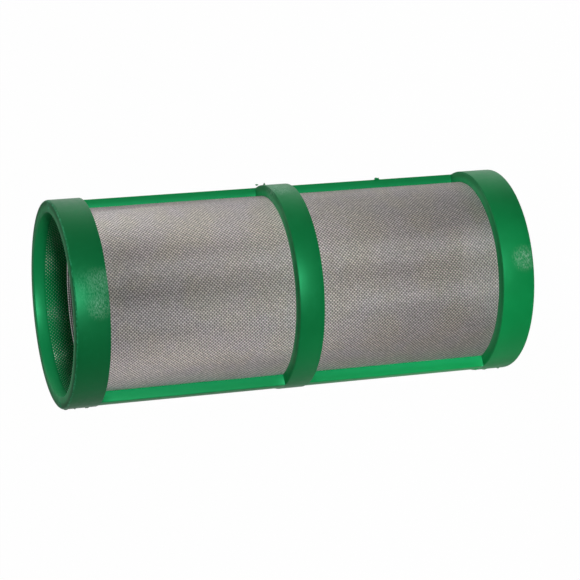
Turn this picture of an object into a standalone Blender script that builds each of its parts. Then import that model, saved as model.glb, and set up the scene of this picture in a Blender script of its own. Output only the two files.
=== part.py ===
"""Line filter cartridge: a moulded cage of three rings and two ribs, with a woven wire sleeve inside it.

Metres, +Z up. The cartridge stands on one end ring at z = 0, its axis is the Z axis, and the ribs lie on +X and -X.
"""

import math

import bmesh
import bpy
from mathutils import Vector

# Cage, moulded in one piece
LENGTH = 0.0864
RING_RADIUS = 0.0190
RING_THICKNESS = 0.0021
END_RING_WIDTH = 0.0064
MID_RING_WIDTH = 0.0050
RIB_WIDTH = 0.0025
RIB_CORNER = 0.0002
SIDE_DRAFT = 0.0002
RIM_ROUNDING = 0.0002
END_ROUNDING = 0.0005

# Plain lip that closes the sleeve's seat at each end
LIP_HEIGHT = 0.0004
LIP_LENGTH = 0.0018
LIP_CHAMFER = 0.0002

# Woven sleeve, with wires coarser than the real cloth's
SLEEVE_CLEARANCE = 0.0003
SLEEVE_WALL = 0.00025
KNUCKLE_HEIGHT = 0.00025
KNUCKLE_INSET = 0.0003
WARP_WIRES = 36
WEFT_WIRES_PER_BAY = 12
OPENING = 0.0017

# Facets of the turned faces, and how far a cutter reaches past what it cuts
CAGE_FACETS = 72
END_ROUNDING_FACETS = 3
RIM_ROUNDING_FACETS = 2
CUT_MARGIN = 0.0010

PLASTIC_GREEN = (0.012, 0.235, 0.070, 1.0)
WIRE_STEEL = (0.420, 0.405, 0.385, 1.0)

# Worked out from the sizes above
MID_HEIGHT = LENGTH / 2
LOWER_BAY = (END_RING_WIDTH, MID_HEIGHT - MID_RING_WIDTH / 2)
UPPER_BAY = (MID_HEIGHT + MID_RING_WIDTH / 2, LENGTH - END_RING_WIDTH)
SEAT_RADIUS = RING_RADIUS - RING_THICKNESS
LIP_RADIUS = SEAT_RADIUS - LIP_HEIGHT
SLEEVE_FACE = SEAT_RADIUS - SLEEVE_CLEARANCE
SLEEVE_CREST = SLEEVE_FACE + KNUCKLE_HEIGHT
SLEEVE_BORE = SLEEVE_FACE - SLEEVE_WALL
SLEEVE_BOTTOM = LIP_LENGTH + SLEEVE_CLEARANCE
SLEEVE_TOP = LENGTH - SLEEVE_BOTTOM


def clear_scene():
    for old in list(bpy.data.objects):
        bpy.data.objects.remove(old, do_unlink=True)


def make_material(name, colour, roughness, metallic):
    material = bpy.data.materials.new(name)
    material.use_nodes = True
    shader = material.node_tree.nodes["Principled BSDF"]
    shader.inputs["Base Color"].default_value = colour
    shader.inputs["Roughness"].default_value = roughness
    shader.inputs["Metallic"].default_value = metallic
    material.diffuse_color = colour
    return material


def object_from(name, shape):
    """Turns a finished bmesh into an object of the scene."""
    bmesh.ops.recalc_face_normals(shape, faces=shape.faces)
    mesh = bpy.data.meshes.new(name)
    shape.to_mesh(mesh)
    shape.free()
    made = bpy.data.objects.new(name, mesh)
    bpy.context.scene.collection.objects.link(made)
    return made


def as_cutter(cutter):
    cutter.hide_render = True
    cutter.display_type = 'WIRE'
    return cutter


def cut(target, cutter):
    """Takes the cutter's volume out of the target."""
    boolean = target.modifiers.new("cut_" + cutter.name, 'BOOLEAN')
    boolean.operation = 'DIFFERENCE'
    boolean.solver = 'EXACT'
    boolean.object = cutter


def arc(centre, radius, start, end, facets):
    """Points of an arc in the (radius, height) plane, between two angles in degrees."""
    points = []
    for step in range(facets + 1):
        angle = math.radians(start + (end - start) * step / facets)
        points.append((centre[0] + radius * math.cos(angle), centre[1] + radius * math.sin(angle)))
    return points


def turned(name, outline, facets):
    """A closed outline of (radius, height) points, turned about the Z axis."""
    shape = bmesh.new()
    rings = []
    for step in range(facets):
        angle = 2 * math.pi * step / facets
        rings.append([shape.verts.new((r * math.cos(angle), r * math.sin(angle), z)) for r, z in outline])
    for step in range(facets):
        here, there = rings[step], rings[(step + 1) % facets]
        for i in range(len(outline)):
            j = (i + 1) % len(outline)
            shape.faces.new((here[i], there[i], there[j], here[j]))
    return object_from(name, shape)


def extruded(name, outline, bottom, top):
    """A closed outline of (x, y) points, extruded along Z."""
    shape = bmesh.new()
    base = shape.faces.new([shape.verts.new((x, y, bottom)) for x, y in outline])
    raised = bmesh.ops.extrude_face_region(shape, geom=[base])["geom"]
    moved = [item for item in raised if isinstance(item, bmesh.types.BMVert)]
    bmesh.ops.translate(shape, verts=moved, vec=Vector((0, 0, top - bottom)))
    return object_from(name, shape)


def blank_outline():
    """Section of the cage before its windows are cut: rounded ends, lips, and the seat of the sleeve."""
    rounding_radius = RING_RADIUS - END_ROUNDING
    outline = [(LIP_RADIUS, LIP_CHAMFER), (LIP_RADIUS + LIP_CHAMFER, 0)]
    outline += arc((rounding_radius, END_ROUNDING), END_ROUNDING, -90, 0, END_ROUNDING_FACETS)
    outline += arc((rounding_radius, LENGTH - END_ROUNDING), END_ROUNDING, 0, 90, END_ROUNDING_FACETS)
    outline += [(LIP_RADIUS + LIP_CHAMFER, LENGTH), (LIP_RADIUS, LENGTH - LIP_CHAMFER)]
    outline += [(LIP_RADIUS, LENGTH - LIP_LENGTH), (SEAT_RADIUS, LENGTH - LIP_LENGTH)]
    outline += [(SEAT_RADIUS, LIP_LENGTH), (LIP_RADIUS, LIP_LENGTH)]
    return outline


def bay_outline(bay):
    """Section of one bay's cutter, which widens outwards by the draft and flares to round the rings' rims."""
    bottom, top = bay
    rim = RING_RADIUS - RIM_ROUNDING
    flare = SIDE_DRAFT + RIM_ROUNDING
    lower_rim = arc((rim, bottom - flare), RIM_ROUNDING, 90, 0, RIM_ROUNDING_FACETS)
    upper_rim = arc((rim, top + flare), RIM_ROUNDING, 0, -90, RIM_ROUNDING_FACETS)
    inside = SEAT_RADIUS - CUT_MARGIN
    outside = RING_RADIUS + CUT_MARGIN
    outline = [(inside, bottom), (SEAT_RADIUS, bottom)] + lower_rim
    outline += [(outside, bottom - flare), (outside, top + flare)]
    outline += upper_rim + [(SEAT_RADIUS, top), (inside, top)]
    return outline


def ribs_outline():
    """Section of what the bay cutters leave standing: a bar through both ribs, its ends tapered for their corners."""
    half = RIB_WIDTH / 2
    corner = math.sqrt(RING_RADIUS ** 2 - half ** 2) - RIB_CORNER
    tip = corner + half
    return [(-tip, 0), (-corner, -half), (corner, -half), (tip, 0), (corner, half), (-corner, half)]


def build_cage(material):
    """Three rings and two ribs, left over when two bays are cut out of a turned blank."""
    cage = turned("cage", blank_outline(), CAGE_FACETS)
    ribs_kept = as_cutter(extruded("ribs_kept", ribs_outline(), -CUT_MARGIN, LENGTH + CUT_MARGIN))
    for name, bay in (("lower_bay", LOWER_BAY), ("upper_bay", UPPER_BAY)):
        bay_cutter = as_cutter(turned(name, bay_outline(bay), CAGE_FACETS))
        cut(bay_cutter, ribs_kept)
        cut(cage, bay_cutter)
    cage.data.materials.append(material)
    return cage


def sleeve_lines():
    """Heights of the lines between the rows of cells, and which rows are woven: those in the two bays."""
    heights = [SLEEVE_BOTTOM]
    woven = []
    for bottom, top in (LOWER_BAY, UPPER_BAY):
        for step in range(WEFT_WIRES_PER_BAY + 1):
            heights.append(bottom + (top - bottom) * step / WEFT_WIRES_PER_BAY)
        woven += [False] + [True] * WEFT_WIRES_PER_BAY
    heights.append(SLEEVE_TOP)
    woven.append(False)
    return heights, woven


class Weave:
    """The sleeve's grid. A cell holds one crossing of a warp and a weft wire, and its corners lie in the meshes."""

    # A cell's corners, counter-clockwise from the lower left: steps to them, and the way from each into the cell
    CORNERS = (((0, 0), (1, 1)), ((1, 0), (-1, 1)), ((1, 1), (-1, -1)), ((0, 1), (1, -1)))
    # Steps from the middle of an opening to its corners and mid-sides, counter-clockwise
    ROUND_OPENING = ((-1, -1), (0, -1), (1, -1), (1, 0), (1, 1), (0, 1), (-1, 1), (-1, 0))

    def __init__(self):
        self.shape = bmesh.new()
        self.vertices = {}
        self.heights, self.woven = sleeve_lines()
        self.column_angle = 2 * math.pi / WARP_WIRES

    def vertex(self, radius, column, height):
        """The vertex at a place on the grid, made once and shared. Column 0 of the cells lies behind a rib."""
        key = (round(radius, 6), round(column % WARP_WIRES, 4), round(height, 6))
        if key not in self.vertices:
            angle = (column - 0.5) * self.column_angle
            place = (radius * math.cos(angle), radius * math.sin(angle), height)
            self.vertices[key] = self.shape.verts.new(place)
        return self.vertices[key]

    def behind_rib(self, column):
        return column % (WARP_WIRES // 2) == 0

    def is_open(self, column, line):
        """One mesh in eight is open, in staggered rows, and none that touches a rib or a ring."""
        if self.behind_rib(column) or self.behind_rib(column - 1):
            return False
        if not (self.woven[line - 1] and self.woven[line]):
            return False
        first_line = 1 if line <= WEFT_WIRES_PER_BAY + 1 else WEFT_WIRES_PER_BAY + 2
        turn = (line - first_line) % 4
        return turn % 2 == 1 and (column - turn - 1) % 4 == 0

    def opening_vertex(self, radius, column, line, step):
        across = step[0] * OPENING / 2 / (SLEEVE_FACE * self.column_angle)
        return self.vertex(radius, column + across, self.heights[line] + step[1] * OPENING / 2)

    def corner(self, radius, column, line, inward):
        """A cell's corner, counter-clockwise: one vertex, or the three along the opening that lies there."""
        if not self.is_open(column, line):
            return [self.vertex(radius, column, self.heights[line])]
        across, up = inward
        steps = [(0, up), (across, up), (across, 0)]
        if across != up:
            steps.reverse()
        return [self.opening_vertex(radius, column, line, step) for step in steps]

    def corners(self, radius, column, row):
        return [self.corner(radius, column + right, row + up, inward) for (right, up), inward in self.CORNERS]

    def flat_cell(self, radius, column, row):
        """The bore's side of a cell, or its outer side where a ring or a rib presses the wires flat."""
        self.shape.faces.new([vertex for corner in self.corners(radius, column, row) for vertex in corner])

    def knuckle(self, column, row):
        """Outer side of a cell in a bay: a ridge along the wire that passes over the other."""
        bottom, top = self.heights[row], self.heights[row + 1]
        if (column + row) % 2 == 0:
            first = self.vertex(SLEEVE_CREST, column + 0.5, bottom + KNUCKLE_INSET)
            second = self.vertex(SLEEVE_CREST, column + 0.5, top - KNUCKLE_INSET)
            apexes = (first, first, second, second)
        else:
            inset = KNUCKLE_INSET / (SLEEVE_CREST * self.column_angle)
            first = self.vertex(SLEEVE_CREST, column + inset, (bottom + top) / 2)
            second = self.vertex(SLEEVE_CREST, column + 1 - inset, (bottom + top) / 2)
            apexes = (first, second, second, first)
        outline = []
        for apex, corner in zip(apexes, self.corners(SLEEVE_FACE, column, row)):
            outline += [(vertex, apex) for vertex in corner]
        for i, (here, apex) in enumerate(outline):
            there, next_apex = outline[(i + 1) % len(outline)]
            ridge = (apex,) if apex == next_apex else (next_apex, apex)
            self.shape.faces.new((here, there) + ridge)

    def end_face(self, column, height):
        """One cell's share of the sleeve's flat end."""
        outline = [self.vertex(SLEEVE_FACE, column + step, height) for step in (0, 1)]
        outline += [self.vertex(SLEEVE_BORE, column + step, height) for step in (1, 0)]
        self.shape.faces.new(outline)

    def opening_walls(self, column, line):
        count = len(self.ROUND_OPENING)
        for i in range(count):
            here, there = self.ROUND_OPENING[i], self.ROUND_OPENING[(i + 1) % count]
            self.shape.faces.new((
                self.opening_vertex(SLEEVE_FACE, column, line, here),
                self.opening_vertex(SLEEVE_FACE, column, line, there),
                self.opening_vertex(SLEEVE_BORE, column, line, there),
                self.opening_vertex(SLEEVE_BORE, column, line, here),
            ))


def build_sleeve(material):
    """A wall with the knuckles of a plain weave on its outer side, and square openings between its wires."""
    weave = Weave()
    for column in range(WARP_WIRES):
        for row, is_woven in enumerate(weave.woven):
            weave.flat_cell(SLEEVE_BORE, column, row)
            if is_woven and not weave.behind_rib(column):
                weave.knuckle(column, row)
            else:
                weave.flat_cell(SLEEVE_FACE, column, row)
        for line in range(1, len(weave.woven)):
            if weave.is_open(column, line):
                weave.opening_walls(column, line)
        weave.end_face(column, SLEEVE_BOTTOM)
        weave.end_face(column, SLEEVE_TOP)
    sleeve = object_from("screen", weave.shape)
    sleeve.data.materials.append(material)
    return sleeve


def shade_round(made):
    """Smooth shading on the turned faces, with crisp edges where they meet flat ones."""
    made.data.shade_smooth()
    made.data.set_sharp_from_angle(angle=math.radians(30))


def main():
    clear_scene()
    cage = build_cage(make_material("green_plastic", PLASTIC_GREEN, 0.42, 0.0))
    shade_round(cage)
    build_sleeve(make_material("wire_cloth", WIRE_STEEL, 0.38, 1.0))


main()
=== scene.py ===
import math

import bmesh
import bpy
from mathutils import Matrix, Vector, noise


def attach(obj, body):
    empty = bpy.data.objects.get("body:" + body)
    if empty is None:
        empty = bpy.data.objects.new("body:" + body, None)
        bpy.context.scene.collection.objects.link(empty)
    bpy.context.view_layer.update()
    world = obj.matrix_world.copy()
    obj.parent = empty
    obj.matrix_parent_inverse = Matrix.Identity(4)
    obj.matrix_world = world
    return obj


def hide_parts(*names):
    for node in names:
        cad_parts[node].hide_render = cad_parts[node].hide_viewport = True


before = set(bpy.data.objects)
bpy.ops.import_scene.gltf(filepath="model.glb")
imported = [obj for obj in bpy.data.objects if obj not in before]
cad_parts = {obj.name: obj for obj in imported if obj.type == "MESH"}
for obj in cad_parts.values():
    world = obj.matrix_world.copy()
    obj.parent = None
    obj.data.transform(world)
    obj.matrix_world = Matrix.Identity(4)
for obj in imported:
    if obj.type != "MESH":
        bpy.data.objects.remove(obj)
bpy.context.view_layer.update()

MM = 0.001

# Cage, in millimetres
LENGTH = 86.4
RING_RADIUS = 19.0
FACE_INNER_RADIUS = 17.0
LIP_RADIUS = 16.75
LIP_LENGTH = 2.1
BED_RADIUS = 16.90
END_RING = 6.4
MID_RING = 5.0
SIDE_DRAFT = 0.2
MOUTH_EDGE = 0.15
RIB_WIDTH = 2.5
END_ROUNDING = 0.5
MOUTH_ROUNDING = 0.25
SEAT_SLOPE = 0.05
RIM_ROUNDING = 0.2
LOWER_BAY = (END_RING, LENGTH / 2 - MID_RING / 2)
UPPER_BAY = (LENGTH / 2 + MID_RING / 2, LENGTH - END_RING)
# Facets of the cage, round each window, across each rib and along each bay
WINDOW_COLUMNS = 132
RIB_COLUMNS = 3
BAY_ROWS = 18
SHARPEST_SMOOTH_BEND = math.radians(50)

# Woven sleeve, in millimetres
CLOTH_RADIUS = 16.88
WIRE_RADIUS = 0.148
BEDDED_WIRE_RADIUS = 0.10
WIRE_SIDES = 3
CRIMP = 0.046
WAVINESS = 0.12
BED_CRIMP = -0.095
SUNK_RADIUS = 16.99
# Counts of wires, and of waves to the metre
WARP_WIRES = 328
WEFT_WIRES_PER_BAY = 106
WEFT_WIRES_PER_END = 13
WEFT_WIRES_MID = 15
WAVES_PER_METRE = 100.0

# Camera, as fitted to the picture: the cartridge lies along x, y leads away, z is up
CAMERA_PLACE = (-126.44, -395.13, 109.47)
CAMERA_FORWARD = (0.29849172, 0.91922811, -0.25675354)
FOCAL_PIXELS = 2303.7
PICTURE_PIXELS = 580
SENSOR_WIDTH = 36.0
CLIP_FROM_TO = (0.01, 20.0)
RIB_TILT = math.radians(28.8)

# Light: a flash just above the camera, a white sweep behind the cartridge and a dim room in front of it.
# Places are in millimetres in the picture's frame, other sizes in metres
FLOOR_HALF = 3.0
PAPER = (0.82, 0.82, 0.82, 1.0)
WHITE = (1.0, 1.0, 1.0, 1.0)
SEEN_AS_WHITE = 0.985
FLASH_PLACE = (-88.0, -400.0, 145.0)
FLASH_SIZE = 0.05
FLASH_POWER = 1.10
SIDE_PLACE = (38.0, -400.0, -130.0)
SIDE_TARGET = (46.0, 0.0, -2.0)
SIDE_SIZE = 0.03
SIDE_SPREAD = math.radians(11)
SIDE_POWER = 12.0
SWEEP_TILT = math.radians(10)
TABLE_DIRECTION = (0, 0.35, -0.94)
SKY_DIRECTION = (0, 0.9, 0.43)
BEHIND_EDGE = (0.40, 0.85)
LEVEL_EDGE = (-0.12, 0.0)
TABLE_EDGE = (0.5, 0.95)
SKY_EDGE = (0.45, 0.95)
SWEEP_GLOW = 0.92
TABLE_GLOW = 0.28
ROOM_GLOW = 0.06
WORLD_LIGHT = 0.10
SKY_LIGHT = 3.5
TABLE_LIGHT = 0.65


def lying(x, y, z):
    """A place or direction in the picture's frame, turned into the part's own, with its axis upright."""
    c, s = math.cos(RIB_TILT), math.sin(RIB_TILT)
    return Vector((z * c + y * s, y * c - z * s, -x))


def lying_place(x, y, z):
    """A place in the picture's frame, measured in millimetres from the middle of the cartridge."""
    return (lying(x, y, z) + Vector((0, 0, LENGTH / 2))) * MM


def add_object(name, data):
    made = bpy.data.objects.new(name, data)
    bpy.context.scene.collection.objects.link(made)
    return made


# Materials

PLAIN_GREEN = ((0.001, 0.126, 0.029), (0.002, 0.154, 0.038))
# Painted light: the ribs between the rings are painted lighter green
RIB_PAINTED_LIGHT_GREEN = (0.003, 0.215, 0.053)
# Painted light: the inside of the cage is painted lighter green
INSIDE_PAINTED_LIGHT_GREEN = (0.006, 0.270, 0.080)
END_RING_PAINTED_SHADE_GREEN = (0.001, 0.092, 0.022)
# Painted shade: the outside of the upper end ring is painted darker green
MOTTLED_GREEN = (0.006, 0.20, 0.06)
# Edge wear and painted highlight: pale lines along the ring edges
WORN_EDGE_AND_HIGHLIGHT = (0.06, 0.50, 0.24)
# Scuffs and painted highlights: pale patches on the rings' fronts and on the mid ring's top
PALE_SCUFF_AND_HIGHLIGHT = (0.26, 0.42, 0.33)
FAINT_SCUFF_AND_HIGHLIGHT = (0.05, 0.24, 0.12)
# Painted highlight on the gate nubs
MINT_GATE_HIGHLIGHT = (0.07, 0.60, 0.32)
STAIN = (0.045, 0.050, 0.018)
PREVIEW_GREEN = (0.014, 0.22, 0.07, 1.0)
GREEN_GLOSS = (0.10, 1.0, 0.42, 1.0)
PLASTIC_GLOSS = (0.43, 0.50)
PLASTIC_IOR = 1.58
BROAD_SCALE = 90.0
FINE_SCALE = 900.0
SCUFF_SCALE = 2200.0
SCUFF_STRETCH = (1.0, 1.0, 2.5)
PORE_STRENGTH = 0.25
PORE_DEPTH = 0.00004
# Distances from the axis, in millimetres, over which the painted shade on the upper end ring, the painted
# light inside and the edge wear with its painted highlight set in
END_RING_SHADE_FROM_TO = (17.6, 18.6)
INSIDE_FROM_TO = (18.4, 17.4)
RIM_WEAR_AND_HIGHLIGHT_FROM_TO = (18.6, 18.8)
# Reach of the edge wear with its painted highlight from an edge, and of the painted light on the ribs and
# of the painted shade past their edges, in millimetres
EDGE_WEAR_AND_HIGHLIGHT_REACH = (0.25, 0.05)
RIB_LIGHT_REACH = 0.2
END_RING_SHADE_REACH = 0.4
END_RING_SHADE_SHARE = 0.75
# Marks on the plastic, scuffs with painted highlights, painted highlights on the gate nubs and a stain:
# place in the picture's frame, reach in millimetres, colour
MARKS = (
    # Scuffs with painted highlights on the three rings
    ((-38.4, -17.2, 8.1), 3.4, PALE_SCUFF_AND_HIGHLIGHT),
    ((-38.8, -18.5, 4.2), 3.0, PALE_SCUFF_AND_HIGHLIGHT),
    ((-40.0, -17.6, 7.2), 5.0, FAINT_SCUFF_AND_HIGHLIGHT),
    ((-1.2, -1.6, 18.9), 4.0, PALE_SCUFF_AND_HIGHLIGHT),
    ((41.4, -17.9, 6.5), 3.0, PALE_SCUFF_AND_HIGHLIGHT),
    # Painted highlights on the two gate nubs on the upper end face
    ((-43.2, -4.0, -17.6), 2.0, MINT_GATE_HIGHLIGHT),
    ((-43.2, 1.7, 17.9), 1.8, MINT_GATE_HIGHLIGHT),
    ((-42.4, -4.6, -16.1), 2.2, STAIN),
)

WARP_TINT = (1.0, 1.0, 1.0)
# Painted shade: the wefts are the same steel as the warps, painted darker
WEFT_PAINTED_SHADE_TINT = (0.40, 0.40, 0.40)
BEDDED_TINT = (1.0, 1.0, 0.96)
WARM_CAST = (0.98, 0.92, 0.87)
COOL_CAST = (0.96, 0.90, 0.91)
# Painted shade: near black where a wire dives under the next one
UNDER_CROSSING_SHADE_STEEL = (0.02, 0.02, 0.02)
COATED_STEEL = (0.14, 0.38, 0.22)
# Painted shade: the inward faces of the wires are painted darker
INWARD_FACE_SHADE_STEEL = (0.30, 0.31, 0.29)
UNDER_CROSSING_SHADE_FROM_TO = (0.12, 0.45)
INWARD_FROM_TO = (-0.4, 0.1)
WIRE_GLOSS = (0.40, 0.48)
WIRE_STREAKS = 0.75
ALONG_GRAIN = 0.0
ACROSS_GRAIN = 0.25
STEEL_PATCH_SCALE = 160.0
STEEL_GRAIN_SCALE = 2500.0
PREVIEW_SHARE = 0.7


class Tree:
    """A node tree under construction: adds nodes and links them in one call."""

    def __init__(self, tree):
        self.tree = tree

    def add(self, kind, inputs=None, **settings):
        node = self.tree.nodes.new(kind)
        for name, value in settings.items():
            setattr(node, name, value)
        for key, value in (inputs or {}).items():
            if isinstance(value, bpy.types.NodeSocket):
                self.join(value, node.inputs[key])
            else:
                node.inputs[key].default_value = value
        return node

    def join(self, source, target):
        self.tree.links.new(source, target)

    def math(self, operation, a, b=0.0, c=0.0):
        return self.add("ShaderNodeMath", {0: a, 1: b, 2: c}, operation=operation).outputs[0]

    def vector(self, operation, a, b=(0, 0, 0)):
        return self.add("ShaderNodeVectorMath", {0: a, 1: b}, operation=operation).outputs

    def scaled(self, vector, scale):
        return self.add("ShaderNodeVectorMath", {0: vector, "Scale": scale}, operation='SCALE').outputs[0]

    def noise(self, vector, scale, detail=2.0, roughness=0.5):
        values = {"Vector": vector, "Scale": scale, "Detail": detail, "Roughness": roughness}
        return self.add("ShaderNodeTexNoise", values).outputs["Fac"]

    def span(self, value, low, high, to_low=0.0, to_high=1.0):
        values = {"Value": value, "From Min": low, "From Max": high, "To Min": to_low, "To Max": to_high}
        node = self.add("ShaderNodeMapRange", values, interpolation_type='SMOOTHSTEP')
        return node.outputs["Result"]

    def blend(self, factor, first, second):
        node = self.add("ShaderNodeMix", {"Factor": factor}, data_type='RGBA')
        for socket, value in ((node.inputs[6], first), (node.inputs[7], second)):
            if isinstance(value, bpy.types.NodeSocket):
                self.join(value, socket)
            else:
                socket.default_value = (*value, 1.0)
        return node.outputs[2]


def new_material(name):
    material = bpy.data.materials.new(name)
    material.use_nodes = True
    tree = Tree(material.node_tree)
    shader = material.node_tree.nodes["Principled BSDF"]
    return material, tree, shader


def green_plastic():
    material, tree, shader = new_material("green_moulded_plastic")
    place = tree.add("ShaderNodeTexCoord").outputs["Object"]
    broad = tree.noise(place, BROAD_SCALE, 3.0)
    fine = tree.noise(place, FINE_SCALE, 4.0, 0.6)
    streaked = tree.vector('MULTIPLY', place, SCUFF_STRETCH)[0]
    height = tree.add("ShaderNodeSeparateXYZ", {0: place}).outputs["Z"]
    bay_middle = (UPPER_BAY[0] + UPPER_BAY[1]) / 2 - LENGTH / 2
    bay_half = (UPPER_BAY[1] - UPPER_BAY[0]) / 2
    from_middle = tree.math('ABSOLUTE', tree.math('SUBTRACT', height, LENGTH / 2 * MM))
    from_bay = tree.math('ABSOLUTE', tree.math('SUBTRACT', from_middle, bay_middle * MM))
    # Painted light: the ribs between the rings are painted lighter green
    rib_painted_light = tree.span(from_bay, (bay_half + RIB_LIGHT_REACH) * MM, (bay_half - RIB_LIGHT_REACH) * MM)
    # Painted shade: darker green over the outside of the upper end ring
    end_ring_painted_shade = tree.span(height, (UPPER_BAY[1] - END_RING_SHADE_REACH) * MM, UPPER_BAY[1] * MM)
    across = tree.vector('MULTIPLY', place, (1, 1, 0))[0]
    from_axis = tree.vector('LENGTH', across)["Value"]

    def from_axis_over(reach, most=1.0):
        return tree.span(from_axis, reach[0] * MM, reach[1] * MM, 0.0, most)

    end_ring_painted_shade = tree.math('MULTIPLY', end_ring_painted_shade, from_axis_over(END_RING_SHADE_FROM_TO, END_RING_SHADE_SHARE))
    tone = tree.blend(tree.span(broad, 0.3, 0.7), *PLAIN_GREEN)
    tone = tree.blend(rib_painted_light, tone, RIB_PAINTED_LIGHT_GREEN)
    tone = tree.blend(end_ring_painted_shade, tone, END_RING_PAINTED_SHADE_GREEN)
    # Painted light: the inside of the cage is painted lighter green
    tone = tree.blend(from_axis_over(INSIDE_FROM_TO), tone, INSIDE_PAINTED_LIGHT_GREEN)
    tone = tree.blend(tree.span(fine, 0.45, 0.8, 0.0, 0.20), tone, MOTTLED_GREEN)
    grain = tree.span(tree.noise(streaked, SCUFF_SCALE, 5.0, 0.75), 0.40, 0.78)
    nearest = 1.0
    for edge in (MOUTH_EDGE, *LOWER_BAY, *UPPER_BAY, LENGTH - MOUTH_EDGE):
        from_edge = tree.math('ABSOLUTE', tree.math('SUBTRACT', height, edge * MM))
        nearest = tree.math('MINIMUM', nearest, from_edge)
    # Pale lines along the ring edges: edge wear and painted highlight
    near_edge = tree.span(nearest, *(reach * MM for reach in EDGE_WEAR_AND_HIGHLIGHT_REACH))
    rim_wear_and_highlight = tree.math('MULTIPLY', near_edge, from_axis_over(RIM_WEAR_AND_HIGHLIGHT_FROM_TO))
    tone = tree.blend(tree.math('MULTIPLY', rim_wear_and_highlight, grain), tone, WORN_EDGE_AND_HIGHLIGHT)
    # Marks: scuffs with painted highlights, painted highlights on the gate nubs and a stain
    for spot, reach, colour in MARKS:
        apart = tree.vector('DISTANCE', place, lying_place(*spot))["Value"]
        near = tree.span(apart, reach * MM, 0.2 * reach * MM)
        tone = tree.blend(tree.math('MULTIPLY', near, grain), tone, colour)
    tree.join(tone, shader.inputs["Base Color"])
    tree.join(tree.span(fine, 0.3, 0.7, *PLASTIC_GLOSS), shader.inputs["Roughness"])
    pores = {"Strength": PORE_STRENGTH, "Distance": PORE_DEPTH, "Height": fine}
    tree.join(tree.add("ShaderNodeBump", pores).outputs["Normal"], shader.inputs["Normal"])
    shader.inputs["IOR"].default_value = PLASTIC_IOR
    shader.inputs["Specular IOR Level"].default_value = 1.0
    shader.inputs["Specular Tint"].default_value = GREEN_GLOSS
    material.diffuse_color = PREVIEW_GREEN
    return material


def steel_wire(name, tint, grain_turn, bedded=False):
    """Drawn wire: its gloss spreads across it, and where it dives under the next one it is painted darker
    as painted shade, or green where bedded.
    """
    material, tree, shader = new_material(name)
    coordinates = tree.add("ShaderNodeTexCoord").outputs
    place = coordinates["Object"]
    patches = tree.noise(place, STEEL_PATCH_SCALE, 3.0)
    warm = tuple(a * b for a, b in zip(tint, WARM_CAST))
    cool = tuple(a * b for a, b in zip(tint, COOL_CAST))
    tone = tree.blend(tree.span(patches, 0.35, 0.65), warm, cool)
    above = tree.add("ShaderNodeAttribute", attribute_name="stands_out").outputs["Fac"]
    drawn = tree.noise(place, STEEL_GRAIN_SCALE, 2.0)
    kept = tree.span(drawn, 0.35, 0.65, 0.75, 1.0)
    stands_out = tree.math('MULTIPLY', tree.span(above, *UNDER_CROSSING_SHADE_FROM_TO), kept)
    # Painted shade: darker where the wire dives under the next one, coated green where bedded in the
    # plastic
    tone = tree.blend(stands_out, COATED_STEEL if bedded else UNDER_CROSSING_SHADE_STEEL, tone)
    if not bedded:
        across = tree.vector('MULTIPLY', place, (1, 1, 0))[0]
        radial = tree.vector('NORMALIZE', across)[0]
        facing = tree.vector('DOT_PRODUCT', coordinates["Normal"], radial)["Value"]
        # Painted shade: the faces turned inward are darker
        tone = tree.blend(tree.span(facing, *INWARD_FROM_TO), INWARD_FACE_SHADE_STEEL, tone)
    tree.join(tone, shader.inputs["Base Color"])
    tree.join(tree.span(drawn, 0.3, 0.7, *WIRE_GLOSS), shader.inputs["Roughness"])
    grain = tree.add("ShaderNodeTangent", direction_type='RADIAL', axis='Z')
    tree.join(grain.outputs[0], shader.inputs["Tangent"])
    shader.inputs["Anisotropic"].default_value = WIRE_STREAKS
    shader.inputs["Anisotropic Rotation"].default_value = grain_turn
    shader.inputs["Metallic"].default_value = 1.0
    material.diffuse_color = (*(PREVIEW_SHARE * channel for channel in tint), 1.0)
    return material


# Cage


def arc(centre, radius, start, end, steps):
    """Points (radius, height) of an arc between two angles in degrees."""
    angles = [math.radians(start + (end - start) * i / steps) for i in range(steps + 1)]
    return [(centre[0] + radius * math.cos(a), centre[1] + radius * math.sin(a)) for a in angles]


def bay_heights(bay, spread):
    """Heights of the rows across one bay, whose two edges stand back by the draft."""
    bottom, top = bay[0] - spread, bay[1] + spread
    return [bottom + (top - bottom) * i / BAY_ROWS for i in range(BAY_ROWS + 1)]


def surface_rows():
    """Outer and inner rows of (radius, height), lower end to upper end, and the rows that open each bay."""
    round_at = RING_RADIUS - END_ROUNDING
    outer = arc((round_at, END_ROUNDING), END_ROUNDING, -90, 0, 5)
    first = len(outer)
    outer += [(RING_RADIUS, z) for z in bay_heights(LOWER_BAY, SIDE_DRAFT)]
    second = len(outer)
    outer += [(RING_RADIUS, z) for z in bay_heights(UPPER_BAY, SIDE_DRAFT)]
    outer += arc((round_at, LENGTH - END_ROUNDING), END_ROUNDING, 0, 90, 5)
    mouth = arc((FACE_INNER_RADIUS, MOUTH_ROUNDING), MOUTH_ROUNDING, -90, -180, 3)
    end = mouth + [(LIP_RADIUS, LIP_LENGTH), (BED_RADIUS, LIP_LENGTH + SEAT_SLOPE)]
    inner = list(end)
    inner_first = len(inner)
    inner += [(BED_RADIUS, z) for z in bay_heights(LOWER_BAY, 0)]
    inner_second = len(inner)
    inner += [(BED_RADIUS, z) for z in bay_heights(UPPER_BAY, 0)]
    inner += [(radius, LENGTH - height) for radius, height in reversed(end)]
    return outer, inner, (first, second), (inner_first, inner_second)


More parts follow.
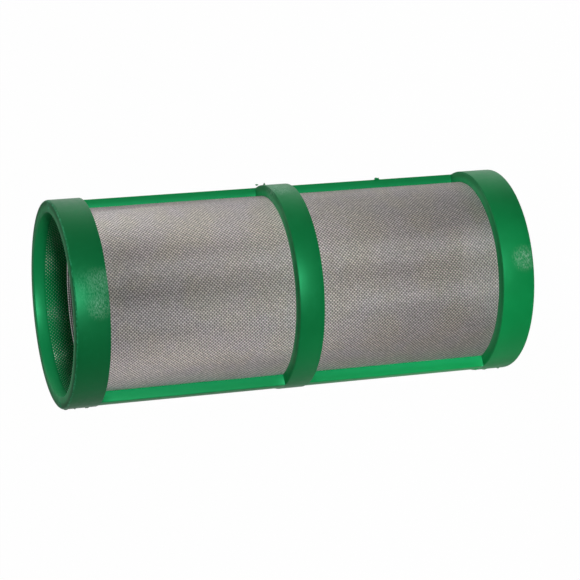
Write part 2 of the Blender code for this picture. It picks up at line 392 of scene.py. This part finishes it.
def column_angles(radius):
    """Angles of the columns at this radius, and which columns lie in a window. The ribs' sides are flat."""
    half = math.asin(RIB_WIDTH / 2 / radius)
    angles, in_window = [], []
    for start in (0, math.pi):
        for i in range(RIB_COLUMNS):
            angles.append(start - half + 2 * half * i / RIB_COLUMNS)
            in_window.append(False)
        for i in range(WINDOW_COLUMNS):
            angles.append(start + half + (math.pi - 2 * half) * i / WINDOW_COLUMNS)
            in_window.append(True)
    return angles, in_window


def cage_mesh():
    """One moulding: outer and inner faces, joined by walls round each of the four windows."""
    outer, inner, outer_bays, inner_bays = surface_rows()
    shape = bmesh.new()
    grids = []
    for rows in (outer, inner):
        grid = []
        for radius, height in rows:
            angles, in_window = column_angles(radius)
            ring = [(radius * math.cos(a), radius * math.sin(a), height) for a in angles]
            grid.append([shape.verts.new(Vector(place) * MM) for place in ring])
        grids.append(grid)
    outside, inside = grids
    count = len(in_window)
    for grid, starts in ((outside, outer_bays), (inside, inner_bays)):
        for row in range(len(grid) - 1):
            open_row = any(start <= row < start + BAY_ROWS for start in starts)
            for column in range(count):
                if not (open_row and in_window[column]):
                    after = (column + 1) % count
                    a, b = grid[row], grid[row + 1]
                    shape.faces.new((a[column], a[after], b[after], b[column]))
    for column in range(count):
        after = (column + 1) % count
        for a, b in ((outside[0], inside[0]), (outside[-1], inside[-1])):
            shape.faces.new((a[column], a[after], b[after], b[column]))
        if in_window[column]:
            for out_start, in_start in zip(outer_bays, inner_bays):
                for step in (0, BAY_ROWS):
                    a, b = outside[out_start + step], inside[in_start + step]
                    shape.faces.new((a[column], a[after], b[after], b[column]))
    for column in range(count):
        if in_window[column] != in_window[column - 1]:
            for out_start, in_start in zip(outer_bays, inner_bays):
                for step in range(BAY_ROWS):
                    a, b = outside[out_start + step], outside[out_start + step + 1]
                    c, d = inside[in_start + step + 1], inside[in_start + step]
                    shape.faces.new((a[column], b[column], c[column], d[column]))
    bmesh.ops.recalc_face_normals(shape, faces=shape.faces)
    mesh = bpy.data.meshes.new("cage_moulding")
    shape.to_mesh(mesh)
    shape.free()
    mesh.shade_smooth()
    return mesh


def build_cage(material):
    cage = add_object("cage_moulding", cage_mesh())
    cage.data.materials.append(material)
    rounding = cage.modifiers.new("rounded_edges", 'BEVEL')
    rounding.width = RIM_ROUNDING * MM
    rounding.segments = 2
    rounding.limit_method = 'ANGLE'
    rounding.angle_limit = SHARPEST_SMOOTH_BEND
    rounding.use_clamp_overlap = True
    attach(cage, "root")
    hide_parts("cage")


RAGGEDNESS = 0.9
# Left by the mould: place in the picture's frame, then size along the axis, round it and out from it
NUBS = (
    ((-43.0, 1.7, 17.9), (0.5, 1.5, 0.9)),
    ((-43.1, -4.0, -17.6), (0.4, 1.0, 1.2)),
    ((-3.0, 5.0, 18.45), (0.5, 0.7, 0.30)),
    ((-1.5, 5.1, 18.42), (0.3, 0.5, 0.45)),
    ((21.8, 8.1, 17.3), (0.9, 0.6, 0.45)),
    ((-42.2, -4.3, -18.5), (0.7, 0.6, 0.35)),
    ((-40.6, -4.5, -18.45), (0.5, 0.5, 0.40)),
    ((-38.4, -4.4, -18.5), (0.8, 0.6, 0.30)),
    ((36.3, -8.2, -17.1), (0.7, 0.6, 0.40)),
    ((39.5, -4.6, -18.45), (0.9, 0.6, 0.30)),
    ((42.3, -4.7, -18.4), (0.6, 0.5, 0.35)),
)


def build_flash(material):
    """Small ragged nubs where the mould's halves met and where it was filled."""
    shape = bmesh.new()
    for place, (along, round_it, out) in NUBS:
        outward = lying(0, place[1], place[2]).normalized()
        upward = Vector((0, 0, 1))
        axes = Matrix((upward * along, upward.cross(outward) * round_it, outward * out)).transposed()
        turn = Matrix.Translation(lying_place(*place)) @ (axes * MM).to_4x4()
        made = bmesh.ops.create_icosphere(shape, subdivisions=2, radius=0.5)["verts"]
        for corner in made:
            corner.co *= 1 + RAGGEDNESS * noise.noise(corner.co * 3 + Vector(place))
        bmesh.ops.transform(shape, matrix=turn, verts=made)
    mesh = bpy.data.meshes.new("moulding_flash")
    shape.to_mesh(mesh)
    shape.free()
    mesh.shade_smooth()
    mesh.materials.append(material)
    flash = add_object("moulding_flash", mesh)
    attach(flash, "root")
    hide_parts("cage")


# Woven sleeve


def wires_tree(name, along_axis):
    """Nodes that lay parallel wires up a cylinder or round it, weaving over and under at each crossing."""
    group = bpy.data.node_groups.new(name, 'GeometryNodeTree')
    sizes = (
        "Radius", "Crimp", "Wire Radius", "First Angle", "Angle Step",
        "First Height", "Height Step", "Waviness",
    )
    inputs = [(label, 'NodeSocketInt') for label in ("Wires", "Crossings", "Parity")]
    inputs += [(label, 'NodeSocketFloat') for label in sizes]
    for label, kind in inputs + [("Material", 'NodeSocketMaterial')]:
        group.interface.new_socket(name=label, in_out='INPUT', socket_type=kind)
    group.interface.new_socket(name="Geometry", in_out='OUTPUT', socket_type='NodeSocketGeometry')
    tree = Tree(group)
    given = tree.add("NodeGroupInput").outputs
    ends = {"Start": (0, 0, 0), "End": (0, 0, 1)}
    line = tree.add("GeometryNodeCurvePrimitiveLine", ends, mode='POINTS')
    crossed = {"Curve": line.outputs[0], "Count": given["Crossings"]}
    wire = tree.add("GeometryNodeResampleCurve", crossed, mode='COUNT')
    starts = tree.add("GeometryNodePoints", {"Count": given["Wires"]})
    on_starts = {"Points": starts.outputs[0], "Instance": wire.outputs[0]}
    laid = tree.add("GeometryNodeInstanceOnPoints", on_starts)
    loose = tree.add("GeometryNodeRealizeInstances", {"Geometry": laid.outputs[0]})
    index = tree.add("GeometryNodeInputIndex").outputs[0]
    wires_before = tree.math('DIVIDE', tree.math('ADD', index, 0.5), given["Crossings"])
    wire_number = tree.math('FLOOR', wires_before)
    crossing = tree.math('SUBTRACT', index, tree.math('MULTIPLY', wire_number, given["Crossings"]))
    turn, climb = (wire_number, crossing) if along_axis else (crossing, wire_number)
    angle = tree.math('MULTIPLY_ADD', turn, given["Angle Step"], given["First Angle"])
    height = tree.math('MULTIPLY_ADD', climb, given["Height Step"], given["First Height"])
    parity = tree.math('ADD', tree.math('ADD', wire_number, crossing), given["Parity"])
    odd = tree.math('FLOORED_MODULO', parity, 2.0)
    side = tree.math('MULTIPLY_ADD', odd, -2.0, 1.0)
    radius = tree.math('MULTIPLY_ADD', side, given["Crimp"], given["Radius"])
    stands_out = tree.math('SUBTRACT', 1.0, odd)
    facing_out = {"X": tree.math('COSINE', angle), "Y": tree.math('SINE', angle)}
    outward = tree.add("ShaderNodeCombineXYZ", facing_out).outputs[0]
    up_by = tree.add("ShaderNodeCombineXYZ", {"Z": height}).outputs[0]
    place = tree.vector('ADD', tree.scaled(outward, radius), up_by)[0]
    crossing_place = tree.vector('ADD', tree.scaled(outward, given["Radius"]), up_by)[0]
    drift_at = {"Vector": crossing_place, "Scale": WAVES_PER_METRE, "Detail": 1.0, "Roughness": 0.5}
    drift = tree.add("ShaderNodeTexNoise", drift_at).outputs["Color"]
    shift = tree.scaled(tree.vector('SUBTRACT', drift, (0.5, 0.5, 0.5))[0], given["Waviness"])
    on_cylinder = {"Geometry": loose.outputs[0], "Position": place, "Offset": shift}
    moved = tree.add("GeometryNodeSetPosition", on_cylinder)
    mark = {"Geometry": moved.outputs[0], "Name": "stands_out", "Value": stands_out}
    marked = tree.add("GeometryNodeStoreNamedAttribute", mark, data_type='FLOAT', domain='POINT')
    flat_side_out = {"Curve": marked.outputs[0], "Normal": tree.scaled(outward, -1.0)}
    woven = tree.add("GeometryNodeSetCurveNormal", flat_side_out, mode='FREE')
    wire_section = {"Resolution": WIRE_SIDES, "Radius": given["Wire Radius"]}
    section = tree.add("GeometryNodeCurvePrimitiveCircle", wire_section)
    swept = {"Curve": woven.outputs[0], "Profile Curve": section.outputs[0], "Fill Caps": True}
    drawn = tree.add("GeometryNodeCurveToMesh", swept)
    edge_ends = tree.add("GeometryNodeInputMeshEdgeVertices").outputs
    sections = []
    for corner in (edge_ends[0], edge_ends[1]):
        sections_before = tree.math('DIVIDE', tree.math('ADD', corner, 0.5), WIRE_SIDES)
        sections.append(tree.math('FLOOR', sections_before))
    runs_along = tree.math('COMPARE', *sections, 0.5)
    all_smooth = {"Geometry": drawn.outputs[0], "Shade Smooth": True}
    bent = tree.add("GeometryNodeSetShadeSmooth", all_smooth, domain='FACE')
    sharp_along = {"Geometry": bent.outputs[0], "Selection": runs_along, "Shade Smooth": False}
    kinked = tree.add("GeometryNodeSetShadeSmooth", sharp_along, domain='EDGE')
    whole = tree.add("GeometryNodeRealizeInstances", {"Geometry": kinked.outputs[0]})
    in_steel = {"Geometry": whole.outputs[0], "Material": given["Material"]}
    painted = tree.add("GeometryNodeSetMaterial", in_steel)
    tree.add("NodeGroupOutput", {0: painted.outputs[0]})
    return group


def made_by(group, name, values):
    """Runs a node tree with these inputs and keeps the result as a plain mesh."""
    carrier = add_object("carrier", bpy.data.meshes.new("carrier"))
    modifier = carrier.modifiers.new("nodes", 'NODES')
    modifier.node_group = group
    for item in group.interface.items_tree:
        if item.item_type == 'SOCKET' and item.in_out == 'INPUT' and item.name in values:
            modifier[item.identifier] = values[item.name]
    carrier.update_tag()
    evaluated = carrier.evaluated_get(bpy.context.evaluated_depsgraph_get())
    mesh = bpy.data.meshes.new_from_object(evaluated)
    mesh.name = name
    carrier.modifiers.remove(modifier)
    bpy.data.objects.remove(carrier)
    return add_object(name, mesh)


def lay_wires(tree, name, steel, up_axis, bottom, top, wefts, first_warp, warps, radius, crimp, thickness):
    """One set of parallel wires between two heights, from one warp wire to another."""
    step = 2 * math.pi / WARP_WIRES
    wires, crossings = (warps, wefts + 1) if up_axis else (wefts, warps + 1)
    return made_by(tree, name, {
        "Wires": wires, "Crossings": crossings, "Parity": first_warp + (0 if up_axis else 1),
        "Radius": radius * MM, "Crimp": crimp * MM, "Wire Radius": thickness * MM,
        "First Angle": (first_warp + 0.5) * step, "Angle Step": step,
        "First Height": bottom * MM, "Height Step": (top - bottom) / wefts * MM,
        "Waviness": WAVINESS * MM, "Material": steel,
    })


def build_sleeve(warp_steel, weft_steel_painted_shade, bedded_steel):
    warp_tree = wires_tree("warp_wires", True)
    weft_tree = wires_tree("weft_wires", False)
    half_way = WARP_WIRES // 2
    pieces = []
    for bay, (bottom, top) in (("lower", LOWER_BAY), ("upper", UPPER_BAY)):
        for side, first in (("back", 0), ("front", half_way)):
            span = (bottom, top, WEFT_WIRES_PER_BAY, first, half_way, CLOTH_RADIUS, CRIMP, WIRE_RADIUS)
            pieces.append(lay_wires(warp_tree, f"warp_wires_{bay}_{side}", warp_steel, True, *span))
            pieces.append(lay_wires(weft_tree, f"weft_wires_{bay}_{side}", weft_steel_painted_shade, False, *span))
    zones = (
        ("lower_ring", LIP_LENGTH, LOWER_BAY[0], WEFT_WIRES_PER_END),
        ("mid_ring", LOWER_BAY[1], UPPER_BAY[0], WEFT_WIRES_MID),
        ("upper_ring", UPPER_BAY[1], LENGTH - LIP_LENGTH, WEFT_WIRES_PER_END),
    )
    for zone, bottom, top, wefts in zones:
        weft = (bottom, top, wefts, 0, WARP_WIRES, SUNK_RADIUS, BED_CRIMP, BEDDED_WIRE_RADIUS)
        warp = (bottom, top, 1, 0, WARP_WIRES, SUNK_RADIUS, 0.0, BEDDED_WIRE_RADIUS)
        pieces.append(lay_wires(weft_tree, f"weft_wires_{zone}", bedded_steel, False, *weft))
        pieces.append(lay_wires(warp_tree, f"warp_wires_{zone}", bedded_steel, True, *warp))
    for piece in pieces:
        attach(piece, "root")
        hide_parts("screen")


# Stage


def white_floor():
    half = FLOOR_HALF
    corners = [(-half, -half, 0), (half, -half, 0), (half, half, 0), (-half, half, 0)]
    mesh = bpy.data.meshes.new("floor")
    mesh.from_pydata(corners, [], [(0, 1, 2, 3)])
    floor = add_object("floor", mesh)
    material, tree, shader = new_material("white_floor")
    tree.tree.nodes.remove(shader)
    out = tree.tree.nodes["Material Output"]
    paper = tree.add("ShaderNodeBsdfDiffuse", {"Color": PAPER})
    glow = tree.add("ShaderNodeEmission", {"Color": WHITE, "Strength": 1.0})
    seen = seen_rays(tree, tree.add("ShaderNodeLightPath").outputs)
    share = tree.math('MULTIPLY', seen, SEEN_AS_WHITE)
    mixed = tree.add("ShaderNodeMixShader", {0: share, 1: paper.outputs[0], 2: glow.outputs[0]})
    tree.join(mixed.outputs[0], out.inputs["Surface"])
    mesh.materials.append(material)
    floor.visible_glossy = False


def studio_world():
    """White where it is seen. Gloss shows the sweep behind, grey below it and a dim room elsewhere."""
    world = bpy.data.worlds.new("studio")
    bpy.context.scene.world = world
    world.use_nodes = True
    sky = Tree(world.node_tree)
    path = sky.add("ShaderNodeLightPath").outputs
    heading = sky.add("ShaderNodeTexCoord").outputs["Generated"]

    def toward(direction, low, high):
        return sky.span(sky.vector('DOT_PRODUCT', heading, direction)["Value"], low, high)

    behind = toward(lying(0, math.cos(SWEEP_TILT), math.sin(SWEEP_TILT)), *BEHIND_EDGE)
    level = toward(Vector((0, 0, -1)), *LEVEL_EDGE)
    below = toward(lying(*TABLE_DIRECTION), *TABLE_EDGE)
    sweep = sky.math('MULTIPLY', sky.math('MULTIPLY', behind, level), SWEEP_GLOW)
    glow = sky.math('ADD', sky.math('MULTIPLY_ADD', below, TABLE_GLOW, ROOM_GLOW), sweep)
    seen = sky.span(path["Is Glossy Ray"], 0.0, 1.0, 1.0, glow)
    above = toward(lying(*SKY_DIRECTION), *SKY_EDGE)
    lit = sky.math('MULTIPLY_ADD', below, TABLE_LIGHT, WORLD_LIGHT)
    soft = sky.math('MULTIPLY_ADD', above, SKY_LIGHT, lit)
    strength = sky.span(seen_rays(sky, path), 0.0, 1.0, soft, seen)
    background = world.node_tree.nodes["Background"]
    background.inputs["Color"].default_value = WHITE
    sky.join(strength, background.inputs["Strength"])


def seen_rays(tree, path):
    """One for rays from the camera and for those in gloss and glass, else nought."""
    glossy = tree.math('MAXIMUM', path["Is Glossy Ray"], path["Is Transmission Ray"])
    return tree.math('MAXIMUM', path["Is Camera Ray"], glossy)


def add_lamp(name, kind, place, target, power):
    data = bpy.data.lights.new(name, kind)
    data.energy = power
    lamp = add_object(name, data)
    lamp.location = place
    lamp.rotation_mode = 'QUATERNION'
    lamp.rotation_quaternion = (target - place).to_track_quat('-Z', 'Y')
    return lamp


def lights():
    flash = add_lamp("flash", 'AREA', lying_place(*FLASH_PLACE), lying_place(0, 0, 0), FLASH_POWER)
    flash.data.shape = 'DISK'
    flash.data.size = FLASH_SIZE
    side_place, side_target = lying_place(*SIDE_PLACE), lying_place(*SIDE_TARGET)
    side = add_lamp("side_light", 'SPOT', side_place, side_target, SIDE_POWER)
    side.data.shadow_soft_size = SIDE_SIZE
    side.data.spot_size = SIDE_SPREAD
    side.data.spot_blend = 1.0
    side.visible_glossy = False


def camera():
    data = bpy.data.cameras.new("camera")
    data.sensor_width = SENSOR_WIDTH
    data.lens = FOCAL_PIXELS / PICTURE_PIXELS * data.sensor_width
    data.clip_start, data.clip_end = CLIP_FROM_TO
    made = add_object("camera", data)
    forward = lying(*CAMERA_FORWARD).normalized()
    picture_up = lying(0, 0, 1)
    right = forward.cross(picture_up).normalized()
    up = right.cross(forward)
    turn = Matrix((right, up, -forward)).transposed()
    made.matrix_world = Matrix.Translation(lying_place(*CAMERA_PLACE)) @ turn.to_4x4()
    bpy.context.scene.camera = made


camera()
white_floor()
studio_world()
lights()
plastic = green_plastic()
build_cage(plastic)
build_flash(plastic)
build_sleeve(
    steel_wire("warp_steel", WARP_TINT, ALONG_GRAIN),
    # Wefts: the same steel painted darker, as painted shade
    steel_wire("weft_steel_painted_shade", WEFT_PAINTED_SHADE_TINT, ACROSS_GRAIN),
    steel_wire("bedded_steel", BEDDED_TINT, ACROSS_GRAIN, bedded=True),
)
bpy.context.scene.view_settings.view_transform = 'Standard'
